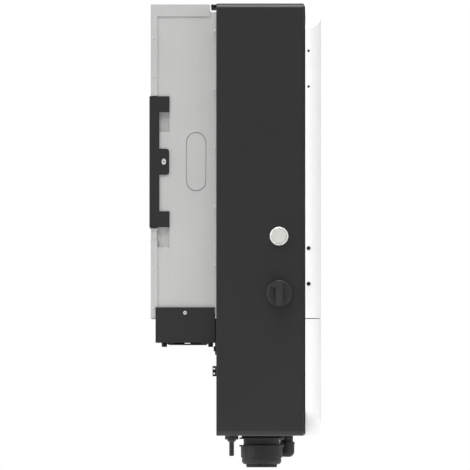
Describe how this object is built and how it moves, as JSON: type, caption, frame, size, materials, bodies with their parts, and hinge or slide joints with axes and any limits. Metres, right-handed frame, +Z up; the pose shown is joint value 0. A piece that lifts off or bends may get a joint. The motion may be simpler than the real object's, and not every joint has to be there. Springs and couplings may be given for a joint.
{
  "type": "string inverter",
  "caption": "Wall-hung string inverter: dark case with white front covers, finned cooling duct with bottom fans behind, side DC switch and start button, glands below.",
  "frame": {"origin": "centre of the wall bracket's back face, on the wall", "axes": "+Z up, +Y into the wall (the front faces -Y), +X to the right for someone facing the front; the DC switch and start button are on the -X side"},
  "size_m": [0.5518, 0.2632, 0.7126],
  "materials": {
    "case_paint": "satin powder coat, dark grey",
    "cover_paint": "semi-gloss powder coat, white",
    "duct_sheet": "plain light grey sheet, matt",
    "lid_sheet": "plain sheet",
    "sink_aluminium": "bonded fins, matt",
    "black_rubber": "matt",
    "dark_plastic": "fine texture",
    "gland_plastic": "fine texture",
    "fan_plastic": "matt black",
    "plated_steel": "zinc plated",
    "black_steel": "black zinc",
    "button_metal": "bright ring",
    "button_cap": "light grey",
    "lens": "smoked window",
    "board": "green solder mask",
    "module_plastic": "black moulded",
    "capacitor_can": "sleeved can",
    "potted_core": "potted winding in an aluminium pot",
    "terminal_plastic": "grey moulded"
  },
  "bodies": {
    "inverter": {"ac_gland_bodies": "gland_plastic", "ac_gland_nuts": "gland_plastic", "ac_terminals": "terminal_plastic", "battery_sockets": "gland_plastic", "board_standoffs": "plated_steel", "bracket_lock_screws": "plated_steel", "breather_valve": "gland_plastic", "button_contacts": "dark_plastic", "button_housing": "button_metal", "button_nut": "plated_steel", "button_spring": "plated_steel", "case_shell": "case_paint", "com_gland_bodies": "gland_plastic", "com_gland_nuts": "gland_plastic", "control_board": "board", "cover_mounts": "dark_plastic", "cover_screws": "black_steel", "data_port_cap": "gland_plastic", "dc_capacitors": "capacitor_can", "duct_rivets": "plated_steel", "duct_side_left": "duct_sheet", "duct_side_right": "duct_sheet", "earth_screw": "plated_steel", "fan_frames": "fan_plastic", "fan_screws": "black_steel", "fan_tray": "case_paint", "finger_guards": "black_steel", "gland_locknuts": "gland_plastic", "gland_rubbers": "black_rubber", "grid_relays": "module_plastic", "hanger_plates": "duct_sheet", "heat_sink": "sink_aluminium", "indicator_board": "board", "indicator_lens": "lens", "inductors": "potted_core", "inner_lid": "lid_sheet", "lid_gasket": "black_rubber", "lid_screws": "plated_steel", "lower_cover": "cover_paint", "power_board": "board", "power_modules": "module_plastic", "pv_plugs_plus": "gland_plastic", "pv_socket_nuts": "gland_plastic", "pv_sockets_minus": "gland_plastic", "rear_cover": "duct_sheet", "rear_wall_screws": "plated_steel", "switch_block": "dark_plastic", "switch_escutcheon": "dark_plastic", "tray_side_screws": "plated_steel", "upper_cover": "cover_paint", "wall_bracket": "case_paint"},
    "fan_1": {"fan_1_rotor": "fan_plastic"},
    "fan_2": {"fan_2_rotor": "fan_plastic"},
    "fan_3": {"fan_3_rotor": "fan_plastic"},
    "fan_4": {"fan_4_rotor": "fan_plastic"},
    "dc_switch": {"switch_knob": "dark_plastic", "switch_shaft": "plated_steel"},
    "start_button": {"button_cap": "button_cap", "button_collar": "dark_plastic"}
  },
  "joints": [
    {"name": "dc_switch_turn", "type": "hinge", "parent": "inverter", "child": "dc_switch", "pos_m": [-0.26, -0.1993, -0.2019], "axis": [-1, 0, 0], "range_deg": [0, 90]},
    {"name": "start_button_press", "type": "slide", "parent": "inverter", "child": "start_button", "axis": [1, 0, 0], "range_m": [0, 0.0025], "stiffness_N_per_m": 1200, "springref_m": -0.001, "deforming": ["button_spring"]},
    {"name": "fan_1_spin", "type": "hinge", "parent": "inverter", "child": "fan_1", "pos_m": [-0.1575, -0.058, -0.258], "axis": [0, 0, 1], "continuous": true},
    {"name": "fan_2_spin", "type": "hinge", "parent": "inverter", "child": "fan_2", "pos_m": [-0.0525, -0.058, -0.258], "axis": [0, 0, 1], "continuous": true},
    {"name": "fan_3_spin", "type": "hinge", "parent": "inverter", "child": "fan_3", "pos_m": [0.0525, -0.058, -0.258], "axis": [0, 0, 1], "continuous": true},
    {"name": "fan_4_spin", "type": "hinge", "parent": "inverter", "child": "fan_4", "pos_m": [0.1575, -0.058, -0.258], "axis": [0, 0, 1], "continuous": true}
  ]
}
